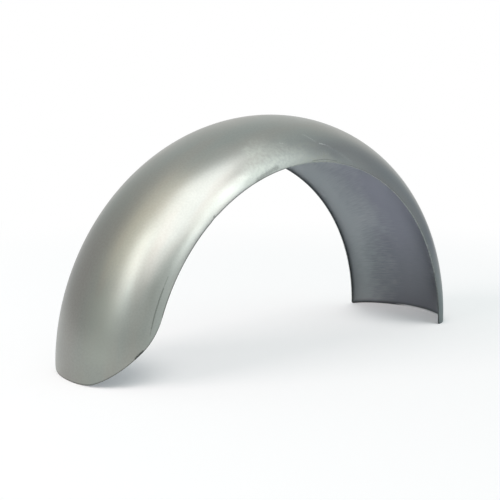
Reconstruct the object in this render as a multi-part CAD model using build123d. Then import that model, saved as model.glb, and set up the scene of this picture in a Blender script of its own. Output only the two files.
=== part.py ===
"""Motorcycle rear fender: one steel sheet, domed across its width, rolled to a half ring and trimmed.

The wheel's axle runs along Y. The front end is at +X, the tail at -X, and the part stands on z = 0 on its
straight front cut and on the point of its tail. Lengths are in millimetres, angles in degrees.
"""
import os
from math import radians, sqrt, tan

from build123d import *

# Sheet and domed section
sheet = 2.0                 # thickness of the steel
crown_radius = 338.0        # wheel centre to the outside of the crown
dome_half_width = 100.4     # half width of the dome across the outside
edge_tuck = 5.2             # the dome would be widest this far inside its lowest side edge

# Side outline that the pressing is trimmed to
skirt_radius = 273.5        # radius of the free side edges
skirt_lead = 2.3            # the centre of the side edges lies this far ahead of the wheel's centre
cut_height = 2.2            # both ends are cut this far above the wheel's centre
tail_land = 6.0             # level run at the tail's point, from the crown to where the slant begins
tail_slant = 44.0           # slope of the tail's sides, seen from the side
tail_point_radius = 16.0    # round between the level run and the slant
tail_corner_radius = 110.0  # round between the slant and the side edge
front_corner_radius = 3.0   # round at the front corners

# What the pressing has over before it is trimmed
end_waste = 10.0            # angle of the rolled ring below each end
trim_margin = 20.0          # room that the trimming shape keeps outside the crown and the sides

# Axle to the line where the dome is widest, and the dome's depth from there to its crown
widest_radius = skirt_radius - abs(skirt_lead) - edge_tuck
dome_depth = crown_radius - widest_radius


def half_ellipse(depth: float, half_width: float) -> Sketch:
    """Area under a dome, with X as the radius from the axle and its flat side on the widest line."""
    dome = EllipticalCenterArc((widest_radius, 0), depth, half_width, start_angle=-90, arc_size=180)
    return make_face(dome + Line(dome @ 1, dome @ 0))


def pressing() -> Part:
    """Domed sheet rolled round the axle, a little past half a turn, from the front end over to the tail."""
    outside = half_ellipse(dome_depth, dome_half_width)
    inside = half_ellipse(dome_depth - sheet, dome_half_width - sheet)
    front_end = Rot(0, end_waste, 0) * (outside - inside)
    return revolve(front_end, Axis.Y, -(180 + 2 * end_waste))


def round_corner(area: Sketch, corner: Vector, radius: float) -> Sketch:
    """Round the corner of an outline that lies nearest to a point."""
    return fillet(area.vertices().sort_by_distance(corner)[0], radius)


def side_outline() -> Sketch:
    """Area that the finished fender covers seen from the side, with X forward and Y up from the axle."""
    reach = crown_radius + trim_margin
    skirt_centre = Vector(skirt_lead, 0)
    area = Circle(reach) - Pos(skirt_centre) * Circle(skirt_radius)
    area -= Pos(0, cut_height) * Rectangle(2 * reach, 2 * reach, align=(Align.CENTER, Align.MAX))

    # the slant runs from the tail's point to where it comes nearest to the centre of the side edges
    tail_point = Vector(tail_land - crown_radius, cut_height)
    slant = Vector(1, 0).rotate(Axis.Z, tail_slant)
    to_centre = skirt_centre - tail_point
    slant_run = to_centre.dot(slant)
    slant_offset = to_centre.cross(slant).length
    under_slant = Rectangle(slant_run, reach, align=(Align.MIN, Align.MAX))
    area -= Pos(tail_point) * Rot(0, 0, tail_slant) * under_slant

    # the corner's round is no larger than the slant has room for beside the round at the point
    tail_corner = tail_point + slant * (slant_run - sqrt(skirt_radius**2 - slant_offset**2))
    point_room = tail_point_radius * tan(radians(tail_slant / 2))
    corner_room = (slant_run - point_room) ** 2 + slant_offset**2 - skirt_radius**2
    largest_round = corner_room / (2 * (skirt_radius - slant_offset))
    front_corner = skirt_centre + Vector(sqrt(skirt_radius**2 - cut_height**2), cut_height)

    area = round_corner(area, tail_point, tail_point_radius)
    area = round_corner(area, tail_corner, min(tail_corner_radius, largest_round))
    return round_corner(area, front_corner, front_corner_radius)


def fender_shell() -> Part:
    """Pressing trimmed to its side outline, standing on z = 0."""
    trim = extrude(Plane.XZ * side_outline(), dome_half_width + trim_margin, both=True)
    return Pos(0, 0, -cut_height) * (pressing() & trim)


os.makedirs("parts", exist_ok=True)
export_step(fender_shell(), "parts/fender_shell.step")
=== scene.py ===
"""Looks of a motorcycle rear fender: one raw steel pressing, shown on a pale studio floor.

Lengths are in metres. The wheel's axle runs along Y, the front end is at +X and the tail at -X, and the
fender stands on z = 0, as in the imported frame. A place on the sheet is given by its arch angle, which is 0
at the front end and 180 degrees at the tail, and by its dome angle, which is 0 on the crown and negative
towards the near side.
"""
import logging
import math
from dataclasses import dataclass
from enum import Enum, IntEnum
from functools import reduce
from typing import Dict, Optional, Sequence, Tuple, Union

import bpy
import numpy as np
from bpy.types import Material, Mesh, Node, NodeSocket, NodeTree, Object, bpy_prop_collection
from mathutils import Matrix, Vector

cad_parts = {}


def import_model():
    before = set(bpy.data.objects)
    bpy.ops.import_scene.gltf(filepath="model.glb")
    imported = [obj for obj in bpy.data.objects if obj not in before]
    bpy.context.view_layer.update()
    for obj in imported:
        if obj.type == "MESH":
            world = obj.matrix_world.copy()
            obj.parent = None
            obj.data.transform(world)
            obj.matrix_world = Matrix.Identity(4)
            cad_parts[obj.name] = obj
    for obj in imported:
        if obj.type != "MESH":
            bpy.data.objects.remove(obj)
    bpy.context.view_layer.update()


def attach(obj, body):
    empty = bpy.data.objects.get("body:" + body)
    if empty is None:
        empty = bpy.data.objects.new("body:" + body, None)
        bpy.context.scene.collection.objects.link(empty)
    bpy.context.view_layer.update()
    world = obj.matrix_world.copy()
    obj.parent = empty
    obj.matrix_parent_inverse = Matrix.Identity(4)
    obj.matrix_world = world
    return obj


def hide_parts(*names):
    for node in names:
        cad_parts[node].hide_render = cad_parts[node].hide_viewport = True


LOG = logging.getLogger("fender")
Pair = Tuple[float, float]
Colour = Tuple[float, float, float]
Paint = Union[Colour, NodeSocket]
Value = Union[float, "Term"]
Feed = Union[float, str, Sequence[float], NodeSocket, "Term"]
IMAGE_PIXELS = 500
SENSOR_WIDTH = 36.0


class Face(IntEnum):
    """Material slots of the sheet."""

    OUTSIDE = 0
    INSIDE = 1
    EDGE = 2


@dataclass(frozen=True)
class Term:
    """A number that a node tree works out, with the usual signs for arithmetic."""

    tree: NodeTree
    socket: NodeSocket

    def run(self, operation: str, *values: Value) -> "Term":
        """Work out one Math node.

        Args:
            operation: Name of the Math node's operation.
            values: Numbers or terms for its inputs, in order.

        Returns:
            The node's result.
        """
        node = self.tree.nodes.new("ShaderNodeMath")
        node.operation = operation
        for place, value in enumerate(values):
            plug(self.tree, value, node.inputs[place])
        return Term(self.tree, node.outputs[0])

    def __add__(self, other: Value) -> "Term":
        """Sum of two numbers."""
        return self.run("ADD", self, other)

    def __radd__(self, other: Value) -> "Term":
        """Sum of two numbers."""
        return self.run("ADD", other, self)

    def __sub__(self, other: Value) -> "Term":
        """Difference of two numbers."""
        return self.run("SUBTRACT", self, other)

    def __rsub__(self, other: Value) -> "Term":
        """Difference of two numbers, taken from a plain one."""
        return self.run("SUBTRACT", other, self)

    def __mul__(self, other: Value) -> "Term":
        """Product of two numbers."""
        return self.run("MULTIPLY", self, other)

    def __rmul__(self, other: Value) -> "Term":
        """Product of two numbers."""
        return self.run("MULTIPLY", other, self)

    def __truediv__(self, other: Value) -> "Term":
        """Quotient of two numbers."""
        return self.run("DIVIDE", self, other)

    def sin(self) -> "Term":
        """Sine of an angle in radians."""
        return self.run("SINE", self)

    def cos(self) -> "Term":
        """Cosine of an angle in radians."""
        return self.run("COSINE", self)

    def asin(self) -> "Term":
        """Angle in radians that has this sine."""
        return self.run("ARCSINE", self)

    def acos(self) -> "Term":
        """Angle in radians that has this cosine."""
        return self.run("ARCCOSINE", self)

    def sqrt(self) -> "Term":
        """Square root."""
        return self.run("SQRT", self)

    def size(self) -> "Term":
        """Number without its sign."""
        return self.run("ABSOLUTE", self)

    def least(self, other: Value) -> "Term":
        """Smaller of two numbers."""
        return self.run("MINIMUM", self, other)

    def most(self, other: Value) -> "Term":
        """Larger of two numbers."""
        return self.run("MAXIMUM", self, other)

    def pick(self, limit: Value, above: Value, below: Value) -> "Term":
        """One of two numbers, by whether this one passes a limit.

        Args:
            limit: The limit.
            above: Result where this number is larger than the limit.
            below: Result elsewhere.

        Returns:
            The number that was picked.
        """
        over = self.run("GREATER_THAN", self, limit)
        return below + over * (above - below)

    def ramp(self, start: Value, end: Value) -> "Term":
        """Smooth step from 0 to 1.

        Args:
            start: This number where the step is still 0.
            end: This number where the step reaches 1.

        Returns:
            The step.
        """
        node = self.tree.nodes.new("ShaderNodeMapRange")
        node.interpolation_type = "SMOOTHSTEP"
        for place, value in enumerate((self, start, end)):
            plug(self.tree, value, node.inputs[place])
        return Term(self.tree, node.outputs[0])

    def blend(self, low: Value, high: Value) -> "Term":
        """Number between two others, with this one as the share of the second."""
        return low + self * (high - low)

    def uneven(self, amount: float) -> "Term":
        """Noise that lies around 0.5, turned into one of a given amount around 0."""
        return (self - 0.5) * amount


def plug(tree: NodeTree, value: Feed, socket: NodeSocket) -> None:
    """Give a node's input its value.

    Args:
        tree: Node tree that holds the node.
        value: Plain value, term or another node's output.
        socket: Input that takes it.
    """
    source = value.socket if isinstance(value, Term) else value
    if isinstance(source, NodeSocket):
        tree.links.new(source, socket)
    else:
        socket.default_value = source


def add_node(tree: NodeTree, kind: str, **inputs: Feed) -> Node:
    """Add a node to a tree.

    Args:
        tree: Node tree that needs it.
        kind: Type of the node.
        inputs: Values of its inputs, by their names.

    Returns:
        The node.
    """
    node = tree.nodes.new(kind)
    for name, value in inputs.items():
        plug(tree, value, node.inputs[name])
    return node


def mix_colours(tree: NodeTree, share: Value, low: Paint, high: Paint) -> NodeSocket:
    """Colour between two others.

    Args:
        tree: Node tree that needs it.
        share: Share of the second colour.
        low: First colour or colour socket.
        high: Second colour or colour socket.

    Returns:
        Socket of the mixed colour.
    """
    node = tree.nodes.new("ShaderNodeMix")
    node.data_type = "RGBA"
    plug(tree, share, node.inputs["Factor"])
    for name, colour in (("A", low), ("B", high)):
        socket = next(s for s in node.inputs if s.name == name and s.type == "RGBA")
        plug(tree, colour if isinstance(colour, NodeSocket) else (*colour, 1.0), socket)
    return next(s for s in node.outputs if s.type == "RGBA")


def linear(red: int, green: int, blue: int) -> Colour:
    """Scene colour of a screen colour.

    Args:
        red: Red as it shows, from 0 to 255.
        green: Green as it shows.
        blue: Blue as it shows.

    Returns:
        The colour that renders so on a plain surface in even light.
    """
    shown = (red / 255, green / 255, blue / 255)
    return tuple(c / 12.92 if c <= 0.04045 else ((c + 0.055) / 1.055) ** 2.4 for c in shown)


def settle(piece: Object) -> None:
    """Replace an object's mesh with a plain one, as its modifiers leave it, and take them off.

    Args:
        piece: Object with modifiers.
    """
    depsgraph = bpy.context.evaluated_depsgraph_get()
    mesh = bpy.data.meshes.new_from_object(
        piece.evaluated_get(depsgraph), preserve_all_data_layers=True, depsgraph=depsgraph
    )
    piece.modifiers.clear()
    piece.data = mesh


def read_rows(items: bpy_prop_collection, name: str, width: int) -> np.ndarray:
    """Numbers of a mesh's vertices or of an attribute.

    Args:
        items: The vertices, or the attribute's data.
        name: Name of the property that holds the numbers.
        width: How many of them each item has.

    Returns:
        One row for each item.
    """
    rows = np.zeros(len(items) * width, np.float32)
    items.foreach_get(name, rows)
    return rows.reshape(-1, width).astype(float)


def place_vertices(mesh: Mesh, places: np.ndarray) -> None:
    """Move a mesh's vertices to new places, one row for each."""
    mesh.vertices.foreach_set("co", places.astype(np.float32).ravel())
    mesh.update()


def smooth_step(values: np.ndarray, start: float, end: float) -> np.ndarray:
    """Smooth step from 0 at start to 1 at end."""
    share = np.clip((values - start) / (end - start), 0.0, 1.0)
    return share * share * (3.0 - 2.0 * share)


def smooth_stretch(values: np.ndarray, rise: Pair, fall: Pair) -> np.ndarray:
    """Smooth step up from 0 to 1 over the rise, and down to 0 again over the fall."""
    return smooth_step(values, *rise) * (1.0 - smooth_step(values, *fall))


def direction(azimuth: float, elevation: float) -> Vector:
    """Unit vector at an azimuth, in degrees from +X towards +Y, and an elevation up from the floor."""
    turn, rise = math.radians(azimuth), math.radians(elevation)
    return Vector((math.cos(turn) * math.cos(rise), math.sin(turn) * math.cos(rise), math.sin(rise)))


@dataclass(frozen=True)
class Stroke:
    """One mark on the steel, a scratch, a lighter streak or a line of painted shade, between two places on
    its unrolled outside.

    Along is measured over the crown from the front end. Across is measured from the crown, and is negative
    on the near side.
    """

    along: Pair
    across: Pair
    width: float
    strength: float


@dataclass(frozen=True)
class Noise:
    """Cloudy pattern on the unrolled sheet.

    Stretch is the number of clouds in a metre along the arch and across it, and detail the number of finer
    layers. The shift moves the pattern, so that two of them differ, and the turn is its angle in degrees.
    Where a span is given, the noise is spread to run from 0 at its start to 1 at its end.
    """

    stretch: Pair
    detail: float
    shift: float
    turn: float = 0.0
    span: Optional[Pair] = None


class Shader:
    """Node tree of one material, with the patterns that the finishes share.

    Noise of 1 moves a mark's border by RAGGED_WIDTHS of its width, and CORE_SHARE of it has full strength.
    """

    RAGGED_WIDTHS = 5.0
    CORE_SHARE = 0.1

    def __init__(self, name: str) -> None:
        """Start a material with a Principled shader.

        Args:
            name: Name of the material.
        """
        self.material = bpy.data.materials.new(name)
        self.material.use_nodes = True
        self.tree = self.material.node_tree
        self.principled = self.tree.nodes["Principled BSDF"]
        self.uv = self.tree.nodes.new("ShaderNodeUVMap").outputs["UV"]
        self.uv.node.uv_map = FenderShell.UV_NAME
        split = add_node(self.tree, "ShaderNodeSeparateXYZ", Vector=self.uv)
        self.along = Term(self.tree, split.outputs[0])
        self.across = Term(self.tree, split.outputs[1])

    def attribute(self, name: str) -> Term:
        """Number that the mesh carries at each point."""
        node = self.tree.nodes.new("ShaderNodeAttribute")
        node.attribute_name = name
        return Term(self.tree, node.outputs["Fac"])

    def noise(self, pattern: Noise) -> Term:
        """Cloudy noise on the unrolled sheet.

        Args:
            pattern: Its pattern.

        Returns:
            Noise that lies about evenly around 0.5.
        """
        tree = self.tree
        turn = (0.0, 0.0, math.radians(pattern.turn))
        shift = (pattern.shift, pattern.shift, pattern.shift)
        scale = (*pattern.stretch, 1.0)
        turned = add_node(tree, "ShaderNodeMapping", Vector=self.uv, Rotation=turn).outputs[0]
        moved = add_node(tree, "ShaderNodeMapping", Vector=turned, Location=shift, Scale=scale).outputs[0]
        node = add_node(tree, "ShaderNodeTexNoise", Vector=moved, Scale=1.0, Detail=pattern.detail)
        noise = Term(tree, node.outputs["Fac"])
        return noise.ramp(*pattern.span) if pattern.span else noise

    def stroke(self, mark: Stroke, ragged: Value = 0.0) -> Term:
        """Mask of one mark.

        Args:
            mark: The mark.
            ragged: Fine noise around 0 that breaks the mark's borders.

        Returns:
            The mark's strength on its line, fading to 0 at its borders.
        """
        run_along = mark.along[1] - mark.along[0]
        run_across = mark.across[1] - mark.across[0]
        off_along = self.along - mark.along[0]
        off_across = self.across - mark.across[0]
        share = (off_along * run_along + off_across * run_across) / (run_along**2 + run_across**2)
        share = share.most(0.0).least(1.0)
        gap_along = off_along - share * run_along
        gap_across = off_across - share * run_across
        gap = (gap_along * gap_along + gap_across * gap_across).sqrt()
        gap = gap + ragged * (self.RAGGED_WIDTHS * mark.width)
        return (1.0 - gap.ramp(self.CORE_SHARE * mark.width, mark.width)) * mark.strength

    def mix(self, share: Value, low: Paint, high: Paint) -> NodeSocket:
        """Colour between two others of this material."""
        return mix_colours(self.tree, share, low, high)

    def finish(self, colour: NodeSocket, roughness: Term, height: Term, depth: float) -> Material:
        """Feed the Principled shader of a bare metal.

        Args:
            colour: Colour of the metal.
            roughness: Its roughness.
            height: Height of its fine relief, from 0 to 1.
            depth: Depth of that relief in metres.

        Returns:
            The finished material.
        """
        bump = add_node(self.tree, "ShaderNodeBump", Distance=depth, Height=height).outputs[0]
        looks = {"Metallic": 1.0, "Base Color": colour, "Roughness": roughness, "Normal": bump}
        for name, value in looks.items():
            plug(self.tree, value, self.principled.inputs[name])
        return self.material


@dataclass(frozen=True)
class OutsideFinish:
    """Bare drawn steel of the outside, with a sanded patch and light marks, painted shade along its free
    edge, in the crease and on the near wall by the front end, and a painted warm reflection on the tail.
    """

    steel: Colour = linear(147, 152, 147)
    warm: Colour = linear(150, 151, 145)
    haze: Colour = linear(161, 167, 159)
    olive: Colour = linear(143, 147, 136)
    # Tint of a painted warm reflection on the tail.
    painted_warm_reflection: Colour = linear(147, 146, 142)
    # Colour of painted shade on the near wall by the front end.
    painted_shade: Colour = linear(124, 130, 130)
    bright: Colour = linear(228, 232, 226)
    dark: Colour = linear(52, 54, 53)
    roughness: float = 0.36
    sanded_roughness: float = 0.47
    uneven_roughness: float = 0.05
    scratch_roughness: float = 0.10
    relief: float = 0.00002
    grain_height: float = 0.45
    fine_height: float = 0.2
    sanding_height: float = 0.4
    mottle_height: float = 0.8
    grain: Noise = Noise((45.0, 900.0), 2.0, 1.0)
    fine: Noise = Noise((900.0, 900.0), 2.0, 6.0)
    tint: Noise = Noise((6.0, 26.0), 2.0, 2.0, span=(0.36, 0.64))
    cloud: Noise = Noise((16.0, 22.0), 4.0, 3.0, span=(0.30, 0.70))
    speckle: Noise = Noise((330.0, 300.0), 2.0, 10.0, 20.0, (0.35, 0.65))
    mottle: Noise = Noise((190.0, 170.0), 4.0, 7.0, 30.0, (0.32, 0.68))
    sanding: Noise = Noise((70.0, 500.0), 2.0, 5.0, 38.0)
    sanded_border: Noise = Noise((55.0, 55.0), 5.0, 4.0)
    ragged: Noise = Noise((650.0, 650.0), 2.0, 8.0)
    broken: Noise = Noise((420.0, 420.0), 1.0, 9.0, span=(0.38, 0.58))
    broken_share: float = 0.75
    speckle_share: float = 0.22
    least_mottle: float = 0.15
    sanded_corner: Pair = (0.642, -0.056)
    sanded_start: Pair = (0.694, -0.133)
    sanded_end: Pair = (0.440, -0.127)
    sanded_ragged: float = 0.060
    sanded_rear_fade: Pair = (-0.012, 0.018)
    sanded_upper_fade: Pair = (-0.004, 0.040)
    rubbed_along: Pair = (0.50, 0.60)
    warm_reflection_along: Pair = (0.80, 0.90)
    warm_reflection_across: Pair = (-0.035, 0.0)
    front_wall_shade_along: Pair = (0.30, 0.12)
    front_wall_shade_across: Pair = (-0.085, -0.115)
    edge_line: Pair = (0.0020, 0.0006)
    edge_line_along: Pair = (0.55, 0.66)
    edge_line_strength: Pair = (0.15, 0.60)
    scratch_wear: float = 1.0
    shade_line_breakup: float = 0.25
    hazed: Stroke = Stroke((0.955, 1.010), (-0.050, -0.055), 0.035, 0.60)
    scratches: Tuple[Stroke, ...] = (
        Stroke((0.515, 0.504), (-0.0986, -0.1003), 0.0011, 0.75),
        Stroke((0.504, 0.495), (-0.1003, -0.1032), 0.0010, 0.30),
        Stroke((0.538, 0.522), (-0.0810, -0.0945), 0.0022, 0.20),
        Stroke((0.591, 0.585), (-0.0891, -0.0923), 0.0012, 0.26),
        Stroke((0.498, 0.446), (-0.1040, -0.1247), 0.0030, 0.10),
        Stroke((0.689, 0.671), (-0.1140, -0.1215), 0.0045, 0.10),
    )
    # Lines of painted shade: the sliver at the tail's tip, the tail's crease, the near front corner, the nick
    # and stretches of the near free edge.
    painted_shade_lines: Tuple[Stroke, ...] = (
        Stroke((1.0117, 1.0013), (-0.1067, -0.1157), 0.0031, 1.00),
        Stroke((0.904, 0.966), (-0.1213, -0.1220), 0.0017, 0.55),
        Stroke((0.886, 0.976), (-0.1208, -0.1221), 0.0013, 0.30),
        Stroke((0.003, 0.005), (-0.1310, -0.1290), 0.0035, 0.90),
        Stroke((0.767, 0.765), (-0.1318, -0.1305), 0.0016, 0.70),
        Stroke((0.542, 0.527), (-0.1302, -0.1286), 0.0010, 0.50),
        Stroke((0.527, 0.511), (-0.1286, -0.1272), 0.0010, 0.50),
        Stroke((0.511, 0.484), (-0.1272, -0.1288), 0.0010, 0.45),
        Stroke((0.664, 0.618), (-0.1312, -0.1262), 0.0060, 0.40),
    )

    def side_of(self, shader: Shader, start: Pair, end: Pair) -> Term:
        """Distance from a straight border on the unrolled sheet.

        Args:
            shader: Material that needs it.
            start: First point of the border, along and across.
            end: Second point of the border.

        Returns:
            Distance, positive to the left of the border.
        """
        run_along = end[0] - start[0]
        run_across = end[1] - start[1]
        length = math.hypot(run_along, run_across)
        left = (shader.across - start[1]) * (run_along / length)
        return left - (shader.along - start[0]) * (run_across / length)

    def sanded(self, shader: Shader) -> Term:
        """Mask of the patch beside the near edge that was sanded by hand.

        Args:
            shader: Material that needs it.

        Returns:
            1 within the patch, fading to 0 over its ragged borders.
        """
        ragged = shader.noise(self.sanded_border).uneven(self.sanded_ragged)
        behind = self.side_of(shader, self.sanded_corner, self.sanded_start) * -1.0 + ragged
        below = self.side_of(shader, self.sanded_corner, self.sanded_end) + ragged
        return behind.ramp(*self.sanded_rear_fade) * below.ramp(*self.sanded_upper_fade)

    def marks(self, shader: Shader, strokes: Sequence[Stroke], breakup: float) -> Term:
        """Mask of several marks together.

        Args:
            shader: Material that needs it.
            strokes: The marks.
            breakup: How broken and ragged they are, from 0 to 1.

        Returns:
            Strength of the marks at each place.
        """
        ragged = shader.noise(self.ragged).uneven(breakup)
        broken = shader.noise(self.broken).blend(1.0 - self.broken_share * breakup, 1.0)
        masks = [shader.stroke(mark, ragged) for mark in strokes]
        return reduce(Term.most, masks) * broken

    def material(self) -> Material:
        """Make the outside's material.

        Returns:
            The material.
        """
        shader = Shader("outside_steel")
        grain = shader.noise(self.grain)
        fine = shader.noise(self.fine)
        tint = shader.noise(self.tint)
        cloud = shader.noise(self.cloud)
        speckle = shader.noise(self.speckle)
        mottle = shader.noise(self.mottle)
        sanding = shader.noise(self.sanding)
        sanded = self.sanded(shader)
        scratched = self.marks(shader, self.scratches, self.scratch_wear)
        shade_line_mask = self.marks(shader, self.painted_shade_lines, self.shade_line_breakup)
        edge = shader.attribute(FenderShell.EDGE_GAP)

        colour = shader.mix(tint, self.steel, self.warm)
        # Painted reflection: a warm tint over the tail's crown and far side.
        painted_warm_reflection = shader.across.ramp(*self.warm_reflection_across) * shader.along.ramp(*self.warm_reflection_along)
        colour = shader.mix(painted_warm_reflection, colour, self.painted_warm_reflection)
        colour = shader.mix(shader.stroke(self.hazed), colour, self.haze)
        colour = shader.mix(speckle * self.speckle_share, colour, self.haze)
        sanding_tone_and_side_light = shader.mix(shader.along.ramp(*self.rubbed_along), self.olive, self.haze)
        colour = shader.mix(sanded * mottle.blend(self.least_mottle, 1.0), colour, sanding_tone_and_side_light)
        # Painted shade: the near wall darker low down by the front end.
        front_wall_shade = shader.across.ramp(*self.front_wall_shade_across) * shader.along.ramp(*self.front_wall_shade_along)
        colour = shader.mix(front_wall_shade, colour, self.painted_shade)
        # Painted shade: a dark line within about 2 mm of the free edge, strongest over the tail.
        edge_line = shader.along.ramp(*self.edge_line_along).blend(*self.edge_line_strength)
        colour = shader.mix(edge.ramp(*self.edge_line) * edge_line, colour, self.dark)
        # Painted shade along those lines.
        colour = shader.mix(shade_line_mask, colour, self.dark)
        colour = shader.mix(scratched, colour, self.bright)

        roughness = sanded.blend(self.roughness, self.sanded_roughness)
        roughness = roughness + cloud.uneven(self.uneven_roughness) + grain.uneven(self.uneven_roughness)
        roughness = roughness + sanded * mottle.uneven(self.uneven_roughness)
        roughness = roughness + scratched * self.scratch_roughness
        height = grain * self.grain_height + fine * self.fine_height
        height = height + sanded * (sanding * self.sanding_height + mottle * self.mottle_height)
        return shader.finish(colour, roughness, height, self.relief)


@dataclass(frozen=True)
class InsideFinish:
    """Rolled skin of the inside, blue-grey, with painted shade towards the front end and along its free edge,
    painted light towards both sides and a painted highlight along the front cut.
    """

    steel: Colour = linear(148, 150, 161)
    painted_shade: Colour = linear(131, 134, 140)
    side_light: Colour = linear(189, 192, 195)
    front_shade_side_light: Colour = linear(163, 168, 170)
    painted_glint: Colour = linear(236, 238, 238)
    dark: Colour = linear(62, 65, 66)
    front_shade: Pair = (0.19, 0.03)
    sanding_tone_and_side_light: Pair = (0.025, 0.105)
    dark_edge: Pair = (0.0110, 0.0005)
    dark_edge_strength: float = 0.85
    glint_edge: Pair = (0.0030, 0.0020)
    glint_along: Pair = (0.012, 0.010)
    glint_across: Pair = (0.045, 0.015)
    front_shade_cloud: float = 0.03
    front_shade_streak: float = 0.08
    side_light_cloud: float = 0.02
    side_light_streak: float = 0.06
    roughness: float = 0.42
    cloud_roughness: float = 0.08
    grain_roughness: float = 0.05
    relief: float = 0.00002
    grain_height: float = 0.7
    streak_height: float = 0.5
    grain: Noise = Noise((40.0, 700.0), 2.0, 11.0)
    streak: Noise = Noise((420.0, 60.0), 3.0, 13.0)
    cloud: Noise = Noise((14.0, 20.0), 4.0, 12.0, span=(0.30, 0.70))

    def material(self) -> Material:
        """Make the inside's material.

        Returns:
            The material.
        """
        shader = Shader("inside_steel")
        grain = shader.noise(self.grain)
        streak = shader.noise(self.streak)
        cloud = shader.noise(self.cloud)
        edge = shader.attribute(FenderShell.EDGE_GAP)
        # Painted light: the inside lighter towards both side walls.
        aside = shader.across.size() + cloud.uneven(self.side_light_cloud) + streak.uneven(self.side_light_streak)
        sanding_tone_and_side_light = aside.ramp(*self.sanding_tone_and_side_light)
        # Painted shade: the inside darker towards the front end; upper and lower are lit and shaded copies of
        # its colours.
        along = shader.along + cloud.uneven(self.front_shade_cloud) + streak.uneven(self.front_shade_streak)
        front_shade = along.ramp(*self.front_shade)
        upper = shader.mix(sanding_tone_and_side_light, self.steel, self.side_light)
        lower = shader.mix(sanding_tone_and_side_light, self.painted_shade, self.front_shade_side_light)
        colour = shader.mix(front_shade, upper, lower)
        shade = edge.ramp(*self.dark_edge)
        colour = shader.mix(shade * shade * self.dark_edge_strength, colour, self.dark)
        # Painted highlight: a bright line on the inside along the front cut, over the near half.
        painted_glint = edge.ramp(*self.glint_edge) * shader.along.ramp(*self.glint_along)
        painted_glint = painted_glint * shader.across.ramp(*self.glint_across)
        colour = shader.mix(painted_glint, colour, self.painted_glint)
        roughness = self.roughness + cloud.uneven(self.cloud_roughness) + grain.uneven(self.grain_roughness)
        height = grain * self.grain_height + streak * self.streak_height
        return shader.finish(colour, roughness, height, self.relief)


@dataclass(frozen=True)
class EdgeFinish:
    """Steel of the sheet's free edge, with a painted highlight over the front half of the arch and painted
    shade elsewhere.
    """

    # Painted shade and painted highlight of the edge.
    painted_edge_shade: Colour = linear(92, 94, 95)
    painted_glint: Colour = linear(200, 203, 200)
    glint_start: Pair = (-0.02, 0.20)
    glint_end: Pair = (0.62, 0.52)
    edge_noise: Noise = Noise((420.0, 420.0), 3.0, 21.0)
    glint_span: Pair = (0.30, 0.65)
    least_glint: float = 0.6
    roughness: float = 0.36
    edge_noise_roughness: float = 0.2
    relief: float = 0.00003

    def material(self) -> Material:
        """Make the free edge's material.

        Returns:
            The material.
        """
        shader = Shader("edge_steel")
        edge_noise = shader.noise(self.edge_noise)
        # Painted highlight on the edge over the front half of the arch, painted shade elsewhere.
        share = shader.along.ramp(*self.glint_start) * shader.along.ramp(*self.glint_end)
        share = share * edge_noise.ramp(*self.glint_span).blend(self.least_glint, 1.0)
        colour = shader.mix(share, self.painted_edge_shade, self.painted_glint)
        roughness = self.roughness + edge_noise.uneven(self.edge_noise_roughness)
        return shader.finish(colour, roughness, edge_noise, self.relief)


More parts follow.
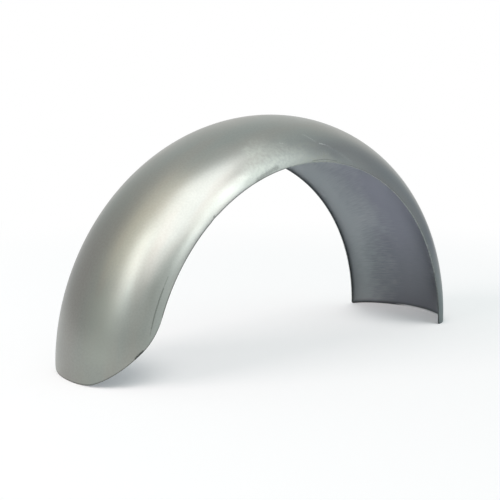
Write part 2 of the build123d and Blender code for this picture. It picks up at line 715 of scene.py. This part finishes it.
@dataclass
class FenderShell:
    """The fender itself: a domed sheet rolled round the wheel and trimmed at its sides and ends."""

    UV_NAME = "UVMap"
    EDGE_GAP = "edge_gap"
    ARCH_ANGLE = "arch_angle"
    DOME_ANGLE = "dome_angle"

    sheet: float = 0.002
    crown_radius: float = 0.338
    dome_half_width: float = 0.1004
    edge_tuck: float = 0.0052
    skirt_radius: float = 0.2735
    skirt_lead: float = 0.0023
    cut_height: float = 0.0022
    tail_land: float = 0.006
    tail_slant: float = 44.0
    tail_point_radius: float = 0.016
    tail_corner_radius: float = 0.110
    front_corner_radius: float = 0.003
    rows: int = 400
    columns: int = 96
    even_rows: float = 0.25
    edge_round: float = 0.0004
    edge_segments: int = 2
    sharp_angle: float = 40.0
    across_scale: float = 0.0905
    wave_depth: float = 0.00005
    crease_dome: float = -77.2
    crease_start: Pair = (147.0, 155.0)
    crease_end: Pair = (161.0, 166.5)
    crease_depth: float = 0.00040
    crease_reach: float = 0.015
    roll_start: Pair = (60.0, 112.0)
    roll_end: Pair = (136.0, 150.0)
    roll_width: float = 0.0030
    roll_depth: float = 0.00010
    nick_angle: float = 129.9
    nick_width: float = 1.0
    nick_depth: float = 0.0005
    ragged_start: Pair = (80.0, 82.0)
    ragged_end: Pair = (93.0, 95.0)
    ragged_depth: float = 0.0005
    worn_width: float = 0.005
    outside: OutsideFinish = OutsideFinish()
    inside: InsideFinish = InsideFinish()
    edge: EdgeFinish = EdgeFinish()

    @property
    def widest_radius(self) -> float:
        """Distance from the axle to the line where the dome is widest."""
        return self.skirt_radius - abs(self.skirt_lead) - self.edge_tuck

    @property
    def dome_depth(self) -> float:
        """Height of the dome from its widest line to its crown."""
        return self.crown_radius - self.widest_radius

    def skirt_edge(self, arch_angle: float) -> Pair:
        """Free side edge at one place of the arch.

        Args:
            arch_angle: Place along the arch in radians.

        Returns:
            The edge's radius from the axle, and its dome angle in radians.
        """
        lead_along = self.skirt_lead * math.cos(arch_angle)
        lead_aside = self.skirt_lead * math.sin(arch_angle)
        radius = lead_along + math.sqrt(self.skirt_radius**2 - lead_aside**2)
        return radius, math.acos((radius - self.widest_radius) / self.dome_depth)

    def tail_sizes(self) -> Dict[str, float]:
        """Sizes of the tail's outline as the skin's tree takes them.

        Distances are from the axle, and angles in radians up from the level line behind it.

        Returns:
            Each size by the name of its input.
        """
        slant = math.radians(self.tail_slant)
        along = Vector((math.cos(slant), math.sin(slant)))
        aside = Vector((-math.sin(slant), math.cos(slant)))
        point = Vector((self.tail_land - self.crown_radius, self.cut_height))
        skirt_centre = Vector((self.skirt_lead, 0.0))
        to_centre = skirt_centre - point

        point_run = self.tail_point_radius * math.tan(slant / 2)
        point_centre = point + Vector((-point_run, self.tail_point_radius))
        point_end = point + along * point_run

        reach = self.skirt_radius + self.tail_corner_radius
        offset = self.tail_corner_radius - to_centre.dot(aside)
        corner_start = point + along * (to_centre.dot(along) - math.sqrt(reach**2 - offset**2))
        corner_centre = corner_start + aside * self.tail_corner_radius
        corner_end = skirt_centre + (corner_centre - skirt_centre) * (self.skirt_radius / reach)
        edge_start = math.atan2(corner_end.y, corner_end.x)
        return {
            "Point Round": self.tail_point_radius,
            "Point Centre Distance": point_centre.length,
            "Point Centre Rise": math.atan2(point_centre.y, -point_centre.x),
            "Point End Distance": point_end.length,
            "Slant": slant,
            "Slant Offset": math.sin(slant) * -point.x + math.cos(slant) * point.y,
            "Corner Round": self.tail_corner_radius,
            "Corner Centre Distance": corner_centre.length,
            "Corner Centre Rise": math.atan2(corner_centre.y, -corner_centre.x),
            "Corner Start Distance": corner_start.length,
            "Tail Edge Angle": edge_start,
            "Tail Edge Dome": self.skirt_edge(edge_start)[1],
        }

    def skin_sizes(self) -> Dict[str, float]:
        """Every size that the skin's tree takes.

        Returns:
            Each size by the name of its input.
        """
        front_radius, front_dome = self.skirt_edge(0.0)
        return {
            "Crown Radius": self.crown_radius,
            "Widest Radius": self.widest_radius,
            "Dome Depth": self.dome_depth,
            "Dome Half Width": self.dome_half_width,
            "Skirt Radius": self.skirt_radius,
            "Skirt Lead": self.skirt_lead,
            "Cut Height": self.cut_height,
            "Front Edge Radius": front_radius,
            "Front Edge Dome": front_dome,
            "Front Round": self.front_corner_radius,
            "Across Scale": self.across_scale,
            **self.tail_sizes(),
        }

    def skin_tree(self, material: Material) -> NodeTree:
        """Geometry nodes that bend a flat grid into the trimmed outside of the sheet.

        Args:
            material: Material of the outside.

        Returns:
            The node tree, with one named input for each size.
        """
        tree = bpy.data.node_groups.new("fender_skin", "GeometryNodeTree")
        for name in ("Rows", "Columns"):
            tree.interface.new_socket(name, in_out="INPUT", socket_type="NodeSocketInt")
        for name in self.skin_sizes():
            tree.interface.new_socket(name, in_out="INPUT", socket_type="NodeSocketFloat")
        tree.interface.new_socket("Geometry", in_out="OUTPUT", socket_type="NodeSocketGeometry")
        group = add_node(tree, "NodeGroupInput")
        size = {name: Term(tree, group.outputs[name]) for name in self.skin_sizes()}

        counts = {"Vertices X": group.outputs["Rows"], "Vertices Y": group.outputs["Columns"]}
        grid = add_node(tree, "GeometryNodeMeshGrid", **counts)
        split = add_node(tree, "ShaderNodeSeparateXYZ", Vector=grid.outputs["UV Map"])
        share_along = Term(tree, split.outputs[0])
        swing = 0.5 - Term(tree, split.outputs[1])
        share_across = (swing * math.pi).sin() * (1.0 - self.even_rows) + swing * (2.0 * self.even_rows)

        def dome_radius(dome_angle: Term) -> Term:
            """Distance from the axle at a dome angle."""
            return size["Widest Radius"] + size["Dome Depth"] * dome_angle.cos()

        def round_rise(radius: Term, name: str) -> Term:
            """Place where a distance from the axle meets the lower side of one of the tail's rounds.

            Args:
                radius: The distance from the axle.
                name: Name of the round, as the tree's inputs have it.

            Returns:
                Angle above the level line.
            """
            far = size[name + " Centre Distance"]
            ray = size[name + " Round"]
            cosine = (radius * radius + far * far - ray * ray) / (2.0 * radius * far)
            return size[name + " Centre Rise"] - cosine.least(1.0).acos()

        front_radius = dome_radius(share_across * size["Front Edge Dome"])
        corner = size["Front Round"]
        inset = (corner - front_radius + size["Front Edge Radius"]).most(0.0).least(corner)
        corner_rise = corner - (corner * corner - inset * inset).sqrt()
        front_end = ((size["Cut Height"] + corner_rise) / front_radius).asin()

        tail_radius = dome_radius(share_across * size["Tail Edge Dome"])
        slant_rise = (size["Slant Offset"] / tail_radius).asin() - size["Slant"]
        tail_rise = round_rise(tail_radius, "Corner")
        tail_rise = tail_radius.pick(size["Corner Start Distance"], slant_rise, tail_rise)
        tail_rise = tail_radius.pick(size["Point End Distance"], round_rise(tail_radius, "Point"), tail_rise)
        tail_end = math.pi - tail_rise

        arch = share_along.blend(front_end, tail_end)
        held = arch.least(size["Tail Edge Angle"])
        aside = size["Skirt Lead"] * held.sin()
        edge_radius = size["Skirt Lead"] * held.cos()
        edge_radius = edge_radius + (size["Skirt Radius"] * size["Skirt Radius"] - aside * aside).sqrt()
        dome = share_across * ((edge_radius - size["Widest Radius"]) / size["Dome Depth"]).acos()
        radius = dome_radius(dome)

        ahead = radius * arch.cos()
        beside = size["Dome Half Width"] * dome.sin()
        above = radius * arch.sin() - size["Cut Height"]
        place = add_node(tree, "ShaderNodeCombineXYZ", X=ahead, Y=beside, Z=above).outputs[0]
        along = arch * size["Crown Radius"]
        across = dome * size["Across Scale"]
        unrolled = add_node(tree, "ShaderNodeCombineXYZ", X=along, Y=across).outputs[0]

        move = add_node(tree, "GeometryNodeSetPosition", Geometry=grid.outputs["Mesh"], Position=place)
        flow = move.outputs[0]
        kept = (
            (self.UV_NAME, "FLOAT2", "CORNER", unrolled),
            (self.ARCH_ANGLE, "FLOAT", "POINT", arch.socket),
            (self.DOME_ANGLE, "FLOAT", "POINT", dome.socket),
        )
        for name, kind, domain, socket in kept:
            store = add_node(tree, "GeometryNodeStoreNamedAttribute", Name=name, Geometry=flow)
            store.data_type = kind
            store.domain = domain
            tree.links.new(socket, next(s for s in store.inputs if s.name == "Value" and s.enabled))
            flow = store.outputs[0]
        for kind in ("RealizeInstances", "SetShadeSmooth", "SetMaterial"):
            step = add_node(tree, "GeometryNode" + kind, Geometry=flow)
            flow = step.outputs[0]
        step.inputs["Material"].default_value = material
        add_node(tree, "NodeGroupOutput", Geometry=flow)
        return tree

    def skin(self, materials: Sequence[Material]) -> Object:
        """Outside of the sheet, with no thickness yet.

        Args:
            materials: Materials in the order of Face.

        Returns:
            Object with a plain mesh.
        """
        piece = bpy.data.objects.new("fender_sheet", bpy.data.meshes.new("fender_sheet"))
        bpy.context.scene.collection.objects.link(piece)
        modifier = piece.modifiers.new("skin", "NODES")
        tree = self.skin_tree(materials[Face.OUTSIDE])
        modifier.node_group = tree
        values = {"Rows": self.rows + 1, "Columns": self.columns + 1, **self.skin_sizes()}
        for item in tree.interface.items_tree:
            if item.in_out == "INPUT":
                modifier[item.identifier] = values[item.name]
        settle(piece)
        piece.data.materials.clear()
        for material in materials:
            piece.data.materials.append(material)
        faces = piece.data.polygons
        faces.foreach_set("material_index", np.full(len(faces), Face.OUTSIDE, np.int32))
        return piece

    def mark_edges(self, mesh: Mesh) -> np.ndarray:
        """Store how far each point lies from the sheet's free edge.

        Args:
            mesh: Skin of the sheet.

        Returns:
            Distances in the order of the vertices.
        """
        places = read_rows(mesh.vertices, "co", 3)
        grid = np.arange(len(places)).reshape(self.rows + 1, self.columns + 1)
        rim = np.concatenate([grid[0], grid[-1], grid[:, 0], grid[:, -1]])
        gaps = np.full(len(places), np.inf)
        for index in rim:
            np.minimum(gaps, np.sum((places - places[index]) ** 2, axis=1), out=gaps)
        gaps = np.sqrt(gaps)
        layer = mesh.attributes.new(self.EDGE_GAP, "FLOAT", "POINT")
        layer.data.foreach_set("value", gaps.astype(np.float32))
        return gaps

    @staticmethod
    def waves(arch: np.ndarray, dome: np.ndarray) -> np.ndarray:
        """Uneven waves of a sheet worked by hand, the sum of three patterns.

        Args:
            arch: Arch angles of the vertices in degrees.
            dome: Dome angles of the vertices in degrees.

        Returns:
            Height of the waves, between -1 and 1.
        """
        short = 0.6
        waves = np.sin(arch / 7.3 + 0.6) * np.sin(dome / 9.1 + 1.1)
        waves += np.sin(arch / 11.9 + dome / 31.0) + short * np.sin(arch / 4.1 - dome / 13.0 + 2.0)
        return waves / (2.0 + short)

    def press(self, piece: Object) -> None:
        """Press the marks of hand work into the skin: faint waves, the tail's crease and the turned-in edge.

        Args:
            piece: Skin of the sheet. Every mark goes inwards, so the outline is kept.
        """
        mesh = piece.data
        gaps = self.mark_edges(mesh)
        arch = np.degrees(read_rows(mesh.attributes[self.ARCH_ANGLE].data, "value", 1)[:, 0])
        dome = np.degrees(read_rows(mesh.attributes[self.DOME_ANGLE].data, "value", 1)[:, 0])

        inwards = self.wave_depth * (1.0 + self.waves(arch, dome))
        beside = np.radians(dome - self.crease_dome) * self.dome_depth
        rise = 1.0 - smooth_step(beside, 0.0, self.crease_reach)
        valley = np.where(beside < 0.0, np.clip(1.0 + beside / self.crease_reach, 0.0, 1.0), rise)
        valley *= np.clip(gaps / self.roll_width, 0.0, 1.0)
        inwards += self.crease_depth * valley * smooth_stretch(arch, self.crease_start, self.crease_end)

        turned = np.clip(1.0 - gaps / self.roll_width, 0.0, 1.0) ** 2
        inwards += self.roll_depth * turned * smooth_stretch(arch, self.roll_start, self.roll_end)

        places = read_rows(mesh.vertices, "co", 3) - read_rows(mesh.vertices, "normal", 3) * inwards[:, None]
        place_vertices(mesh, places + self.edge_wear(arch, dome, gaps))

    def edge_wear(self, arch: np.ndarray, dome: np.ndarray, gaps: np.ndarray) -> np.ndarray:
        """Small nick and ragged stretch in the near side's free edge.

        Args:
            arch: Arch angles of the vertices in degrees.
            dome: Dome angles of the vertices in degrees.
            gaps: Distances of the vertices from the free edge.

        Returns:
            Movement of each vertex along the sheet, away from the edge.
        """
        nick = self.nick_depth * np.exp(-(((arch - self.nick_angle) / self.nick_width) ** 2))
        teeth = 0.5 + 0.3 * np.sin(arch * 2.3) + 0.2 * np.sin(arch * 3.9 + 1.0)
        teeth *= smooth_stretch(arch, self.ragged_start, self.ragged_end)
        depth = (nick + self.ragged_depth * teeth) * (dome < 0.0)
        depth *= np.clip(1.0 - gaps / self.worn_width, 0.0, 1.0)
        turn, lean = np.radians(arch), np.radians(dome)
        fall = -self.dome_depth * np.sin(lean)
        aside = self.dome_half_width * np.cos(lean)
        uphill = np.column_stack([fall * np.cos(turn), aside, fall * np.sin(turn)])
        return uphill / np.linalg.norm(uphill, axis=1)[:, None] * depth[:, None]

    def thicken(self, piece: Object) -> None:
        """Give the skin the sheet's thickness and break its sharp edges.

        Args:
            piece: Skin of the sheet.
        """
        wall = piece.modifiers.new("wall", "SOLIDIFY")
        wall.thickness = self.sheet
        wall.offset = -1.0
        wall.material_offset = Face.INSIDE
        wall.material_offset_rim = Face.EDGE
        burr = piece.modifiers.new("deburred", "BEVEL")
        burr.width = self.edge_round
        burr.segments = self.edge_segments
        burr.limit_method = "ANGLE"
        burr.angle_limit = math.radians(self.sharp_angle)
        burr.material = Face.EDGE
        burr.harden_normals = True
        settle(piece)
        places = read_rows(piece.data.vertices, "co", 3)
        places[:, 2] = np.maximum(places[:, 2], 0.0)
        place_vertices(piece.data, places)

    def build(self) -> None:
        """Build the fender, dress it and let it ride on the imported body."""
        materials = [self.outside.material(), self.inside.material(), self.edge.material()]
        piece = self.skin(materials)
        self.press(piece)
        self.thicken(piece)
        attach(piece, "root")
        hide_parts("fender_shell")
        LOG.info("%s: %d faces", piece.name, len(piece.data.polygons))


class Rays(Enum):
    """Rays that see a surface: straight from the camera, or from it by way of metal or glass too."""

    CAMERA = ("Is Camera Ray",)
    SEEN = ("Is Camera Ray", "Is Glossy Ray", "Is Transmission Ray")

    def share(self, tree: NodeTree) -> Term:
        """1 on these rays and 0 on others, in the tree of a material or the world."""
        paths = add_node(tree, "ShaderNodeLightPath").outputs
        return reduce(Term.most, [Term(tree, paths[name]) for name in self.value])


@dataclass(frozen=True)
class StudioFloor:
    """Pale floor that runs out into the white background."""

    radius: float = 1.9
    sides: int = 96
    colour: Colour = (0.93, 0.945, 0.947)
    bounce: float = 0.63
    contact_bounce: float = 0.15
    contact_reach: float = 0.22
    contact_share: Pair = (0.42, 0.76)
    contact_samples: int = 16
    fade_start: float = 0.45
    fade_end: float = 1.5

    def build(self) -> None:
        """Lay the floor."""
        turns = np.linspace(0.0, 360.0, self.sides, endpoint=False)
        corners = [direction(turn, 0.0) * self.radius for turn in turns]
        mesh = bpy.data.meshes.new("studio_floor")
        mesh.from_pydata(corners, [], [list(range(self.sides))])
        floor = bpy.data.objects.new("studio_floor", mesh)
        bpy.context.scene.collection.objects.link(floor)
        mesh.materials.append(self.material())
        LOG.info("studio floor laid")

    def material(self) -> Material:
        """Make a white that keeps the shadow near the object and is plain further out.

        Returns:
            The material. Where the object is close above it, it is lightened less.
        """
        material = bpy.data.materials.new("floor_white")
        material.use_nodes = True
        tree = material.node_tree
        tree.nodes.clear()
        place = add_node(tree, "ShaderNodeTexCoord").outputs["Object"]
        distance = add_node(tree, "ShaderNodeVectorMath", Vector=place)
        distance.operation = "LENGTH"
        contact = add_node(tree, "ShaderNodeAmbientOcclusion", Distance=self.contact_reach)
        contact.samples = self.contact_samples
        clear = Term(tree, contact.outputs["AO"]).ramp(*self.contact_share)
        lift = Rays.CAMERA.share(tree) * clear.blend(self.contact_bounce, self.bounce)
        share = Term(tree, distance.outputs["Value"]).ramp(self.fade_start, self.fade_end)
        share = share.blend(lift, 1.0) * Rays.SEEN.share(tree)
        paint = add_node(tree, "ShaderNodeBsdfDiffuse", Color=(*self.colour, 1.0))
        white = add_node(tree, "ShaderNodeEmission", Strength=1.0)
        mix = add_node(tree, "ShaderNodeMixShader", Fac=share)
        tree.links.new(paint.outputs[0], mix.inputs[1])
        tree.links.new(white.outputs[0], mix.inputs[2])
        add_node(tree, "ShaderNodeOutputMaterial", Surface=mix.outputs[0])
        return material


@dataclass(frozen=True)
class RoomSide:
    """Soft round part of the room, whole within its inner angle and faded out at its outer angle."""

    azimuth: float
    elevation: float
    inner: float
    outer: float

    def share(self, tree: NodeTree) -> Term:
        """Share of this part in a direction of the room.

        Args:
            tree: Node tree of the world.

        Returns:
            1 in the middle of the part and 0 away from it.
        """
        room = add_node(tree, "ShaderNodeTexCoord").outputs["Generated"]
        facing = add_node(tree, "ShaderNodeVectorMath", Vector=room)
        facing.operation = "DOT_PRODUCT"
        facing.inputs[1].default_value = direction(self.azimuth, self.elevation)
        cosine = Term(tree, facing.outputs["Value"])
        return cosine.ramp(math.cos(math.radians(self.outer)), math.cos(math.radians(self.inner)))


@dataclass(frozen=True)
class StudioRoom:
    """Pale room round the object, as its metal mirrors it, and the light that the room gives to the floor.

    The wall behind the object is a white backdrop. The room is cool and light overhead and beside the
    backdrop, a cool grey beyond the front end and darker behind the camera. The floor has an even, cool fill.
    """

    white: Colour = (1.0, 1.0, 1.0)
    pale: Colour = (0.63, 0.635, 0.63)
    cool: Colour = (0.78, 0.815, 0.83)
    grey: Colour = (0.43, 0.465, 0.54)
    dark: Colour = (0.50, 0.53, 0.515)
    floor_fill: Colour = (0.63, 0.715, 0.72)
    overhead: RoomSide = RoomSide(25.0, 55.0, 35.0, 64.0)
    backdrop: RoomSide = RoomSide(51.0, 10.0, 18.0, 44.0)
    grey_side: RoomSide = RoomSide(-28.0, 4.0, 28.0, 58.0)
    far_wall: RoomSide = RoomSide(82.0, 0.0, 4.0, 21.0)
    dark_side: RoomSide = RoomSide(-108.0, 2.0, 12.0, 42.0)

    def build(self) -> None:
        """Set the world: white to the camera, the room in reflections, and the light on the floor."""
        world = bpy.data.worlds.new("studio_room")
        world.use_nodes = True
        world.cycles.sampling_method = "NONE"
        bpy.context.scene.world = world
        tree = world.node_tree
        tree.nodes.clear()
        cool_share = self.overhead.share(tree).most(self.far_wall.share(tree))
        colour = mix_colours(tree, cool_share, self.pale, self.cool)
        colour = mix_colours(tree, self.dark_side.share(tree), colour, self.dark)
        colour = mix_colours(tree, self.grey_side.share(tree), colour, self.grey)
        white_share = self.backdrop.share(tree).most(Rays.CAMERA.share(tree))
        colour = mix_colours(tree, white_share, colour, self.white)
        colour = mix_colours(tree, Rays.SEEN.share(tree), self.floor_fill, colour)
        paint = add_node(tree, "ShaderNodeBackground", Color=colour)
        add_node(tree, "ShaderNodeOutputWorld", Surface=paint.outputs[0])
        LOG.info("studio room set")


class LampUse(Enum):
    """What a lamp is hung for."""

    METAL = "shows in the metal"
    FLOOR = "lights the floor and throws the shadow"


@dataclass(frozen=True)
class SoftBox:
    """Rectangular studio lamp that points at the object."""

    name: str
    azimuth: float
    elevation: float
    width: float
    height: float
    radiance: float
    colour: Colour
    use: LampUse = LampUse.METAL
    distance: float = 4.0
    aim: Tuple[float, float, float] = (0.0, 0.0, 0.18)

    def build(self) -> None:
        """Hang the lamp."""
        lamp = bpy.data.lights.new(self.name, "AREA")
        lamp.shape = "RECTANGLE"
        lamp.size = self.width
        lamp.size_y = self.height
        lamp.color = self.colour
        lamp.energy = self.radiance * math.pi * self.width * self.height
        lamp_object = bpy.data.objects.new(self.name, lamp)
        away = direction(self.azimuth, self.elevation)
        lamp_object.location = Vector(self.aim) + away * self.distance
        lamp_object.rotation_euler = away.to_track_quat("Z", "Y").to_euler()
        lamp_object.visible_camera = False
        lamp_object.visible_diffuse = self.use is LampUse.FLOOR
        lamp_object.visible_glossy = self.use is LampUse.METAL
        bpy.context.scene.collection.objects.link(lamp_object)
        LOG.info("%s hung", self.name)


@dataclass(frozen=True)
class PhotoCamera:
    """Camera at the photograph's viewing angle.

    The view is turned from +Y towards +X by its azimuth, looks down by its elevation and leans by its roll.
    Its middle passes to the right of the wheel's centre and above it by the two offsets.
    """

    azimuth: float = 38.67
    elevation: float = 9.17
    roll: float = 0.27
    distance: float = 1.35005
    right_offset: float = -0.02874
    up_offset: float = 0.13628
    focal_pixels: float = 889.8
    wheel_height: float = -0.0022

    def build(self) -> None:
        """Place the camera and make it the scene's own."""
        turn, drop, lean = (math.radians(a) for a in (self.azimuth, self.elevation, self.roll))
        forward = Vector((math.sin(turn) * math.cos(drop), math.cos(turn) * math.cos(drop), -math.sin(drop)))
        level = Vector((math.cos(turn), -math.sin(turn), 0.0))
        upright = level.cross(forward)
        right = level * math.cos(lean) + upright * math.sin(lean)
        upwards = upright * math.cos(lean) - level * math.sin(lean)
        camera = bpy.data.cameras.new("photo_camera")
        camera.sensor_width = SENSOR_WIDTH
        camera.lens = self.focal_pixels * SENSOR_WIDTH / IMAGE_PIXELS
        holder = bpy.data.objects.new("photo_camera", camera)
        place = Vector((0.0, 0.0, self.wheel_height)) - forward * self.distance
        place += right * self.right_offset + upwards * self.up_offset
        facing = Matrix((right, upwards, -forward)).transposed().to_4x4()
        holder.matrix_world = Matrix.Translation(place) @ facing
        bpy.context.scene.collection.objects.link(holder)
        bpy.context.scene.camera = holder
        LOG.info("camera placed")


def main() -> None:
    """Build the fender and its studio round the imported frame."""
    logging.basicConfig(level=logging.INFO, format="%(name)s: %(message)s")
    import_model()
    bpy.context.scene.view_settings.view_transform = "Standard"
    FenderShell().build()
    StudioFloor().build()
    StudioRoom().build()
    lamps = (
        SoftBox("upper_softbox", -117.1, 50.3, 3.31, 3.86, 2.98, (1.0, 0.935, 0.955)),
        SoftBox("side_softbox", -74.8, 22.7, 1.73, 2.27, 4.9, (0.97, 0.985, 1.0)),
        SoftBox("left_softbox", -163.9, 32.5, 1.44, 2.3, 3.05, (0.96, 0.975, 1.0)),
        SoftBox("warm_panel", 173.9, 49.0, 3.18, 3.66, 0.82, (1.0, 0.83, 0.62)),
        SoftBox("floor_window", 169.0, 23.0, 2.4, 2.4, 8.6, (1.0, 0.84, 0.83), LampUse.FLOOR),
    )
    for lamp in lamps:
        lamp.build()
    PhotoCamera().build()


if __name__ == "__main__":
    main()
